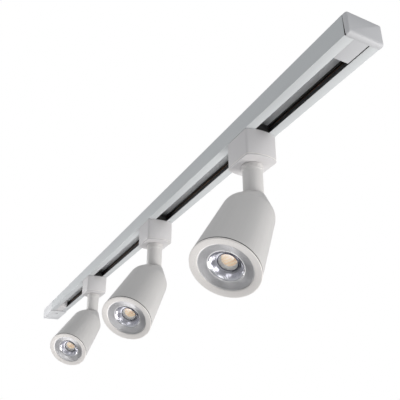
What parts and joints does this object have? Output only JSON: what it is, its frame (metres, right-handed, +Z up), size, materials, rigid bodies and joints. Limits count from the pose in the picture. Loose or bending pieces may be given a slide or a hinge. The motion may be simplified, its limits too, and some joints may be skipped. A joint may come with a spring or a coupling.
{
  "type": "track lighting fixture",
  "caption": "White ceiling track light with a live-end feed, an end cap and three sliding, locking adapters that each carry a swivelling, tilting LED spotlight on a round stem.",
  "frame": {"origin": "middle of the track's ceiling face, half way along the aluminium profile", "axes": "+X along the track towards the end cap, away from the live-end feed; +Z up into the ceiling"},
  "size_m": [1.0916, 0.0977, 0.1878],
  "materials": {
    "track_paint": "satin",
    "insulator": "matte",
    "copper": "satin",
    "white_plastic": "satin",
    "cap_plastic": "satin",
    "steel": "satin",
    "black_plastic": "satin",
    "circuit_board": "matte",
    "wire_sheath": "satin",
    "head_paint": "satin",
    "cast_aluminium": "satin",
    "led_phosphor": "matte",
    "clear_lens": "clear",
    "mirror_coating": "mirror",
    "frosted_ring": "satin",
    "bezel_white": "satin"
  },
  "bodies": {
    "track": {"track_channel": "track_paint", "conductor_carriers": "insulator", "conductors": "copper", "end_cap": "cap_plastic", "feed_housing": "cap_plastic", "feed_cover": "cap_plastic", "feed_insert": "white_plastic", "feed_contacts": "copper", "feed_screws": "steel"},
    "adapter_1": {"adapter_housing_1": "white_plastic", "adapter_cover_1": "white_plastic", "adapter_tongue_1": "black_plastic", "driver_board_1": "circuit_board"},
    "lock_1": {"lock_rotor_1": "black_plastic", "lock_contacts_1": "copper"},
    "stem_1": {"stem_tube_1": "head_paint", "stem_nut_1": "steel", "lamp_wires_1": "wire_sheath"},
    "head_1": {"head_shell_1": "head_paint", "pivot_pin_1": "steel", "heat_sink_1": "cast_aluminium", "led_module_1": "led_phosphor", "dome_lens_1": "clear_lens", "reflector_1": "mirror_coating", "trim_cone_1": "frosted_ring", "bezel_1": "bezel_white"},
    "adapter_2": {"adapter_housing_2": "white_plastic", "adapter_cover_2": "white_plastic", "adapter_tongue_2": "black_plastic", "driver_board_2": "circuit_board"},
    "lock_2": {"lock_rotor_2": "black_plastic", "lock_contacts_2": "copper"},
    "stem_2": {"stem_tube_2": "head_paint", "stem_nut_2": "steel", "lamp_wires_2": "wire_sheath"},
    "head_2": {"head_shell_2": "head_paint", "pivot_pin_2": "steel", "heat_sink_2": "cast_aluminium", "led_module_2": "led_phosphor", "dome_lens_2": "clear_lens", "reflector_2": "mirror_coating", "trim_cone_2": "frosted_ring", "bezel_2": "bezel_white"},
    "adapter_3": {"adapter_housing_3": "white_plastic", "adapter_cover_3": "white_plastic", "adapter_tongue_3": "black_plastic", "driver_board_3": "circuit_board"},
    "lock_3": {"lock_rotor_3": "black_plastic", "lock_contacts_3": "copper"},
    "stem_3": {"stem_tube_3": "head_paint", "stem_nut_3": "steel", "lamp_wires_3": "wire_sheath"},
    "head_3": {"head_shell_3": "head_paint", "pivot_pin_3": "steel", "heat_sink_3": "cast_aluminium", "led_module_3": "led_phosphor", "dome_lens_3": "clear_lens", "reflector_3": "mirror_coating", "trim_cone_3": "frosted_ring", "bezel_3": "bezel_white"}
  },
  "joints": [
    {"name": "adapter_slide_1", "type": "slide", "parent": "track", "child": "adapter_1", "axis": [1, 0, 0], "range_m": [-0.02, 0.11]},
    {"name": "lock_turn_1", "type": "hinge", "parent": "adapter_1", "child": "lock_1", "pos_m": [0.34, 0, -0.026], "axis": [0, 0, 1], "range_deg": [0, 90]},
    {"name": "head_swivel_1", "type": "hinge", "parent": "adapter_1", "child": "stem_1", "pos_m": [0.34, 0, -0.0497], "axis": [0, 0, 1], "range_deg": [-175, 175]},
    {"name": "head_tilt_1", "type": "hinge", "parent": "stem_1", "child": "head_1", "pos_m": [0.34, 0, -0.0887], "axis": [-0.866, -0.5, 0], "range_deg": [-35.2, 54.8]},
    {"name": "adapter_slide_2", "type": "slide", "parent": "track", "child": "adapter_2", "axis": [1, 0, 0], "range_m": [-0.06, 0.02]},
    {"name": "lock_turn_2", "type": "hinge", "parent": "adapter_2", "child": "lock_2", "pos_m": [0.087, 0, -0.026], "axis": [0, 0, 1], "range_deg": [0, 90]},
    {"name": "head_swivel_2", "type": "hinge", "parent": "adapter_2", "child": "stem_2", "pos_m": [0.087, 0, -0.0497], "axis": [0, 0, 1], "range_deg": [-175, 175]},
    {"name": "head_tilt_2", "type": "hinge", "parent": "stem_2", "child": "head_2", "pos_m": [0.087, 0, -0.0887], "axis": [-0.7581, -0.6521, 0], "range_deg": [-40.8, 49.2]},
    {"name": "adapter_slide_3", "type": "slide", "parent": "track", "child": "adapter_3", "axis": [1, 0, 0], "range_m": [-0.215, 0.025]},
    {"name": "lock_turn_3", "type": "hinge", "parent": "adapter_3", "child": "lock_3", "pos_m": [-0.21, 0, -0.026], "axis": [0, 0, 1], "range_deg": [0, 90]},
    {"name": "head_swivel_3", "type": "hinge", "parent": "adapter_3", "child": "stem_3", "pos_m": [-0.21, 0, -0.0497], "axis": [0, 0, 1], "range_deg": [-175, 175]},
    {"name": "head_tilt_3", "type": "hinge", "parent": "stem_3", "child": "head_3", "pos_m": [-0.21, 0, -0.0887], "axis": [-0.6858, -0.7278, 0], "range_deg": [-44.8, 45.2]}
  ]
}
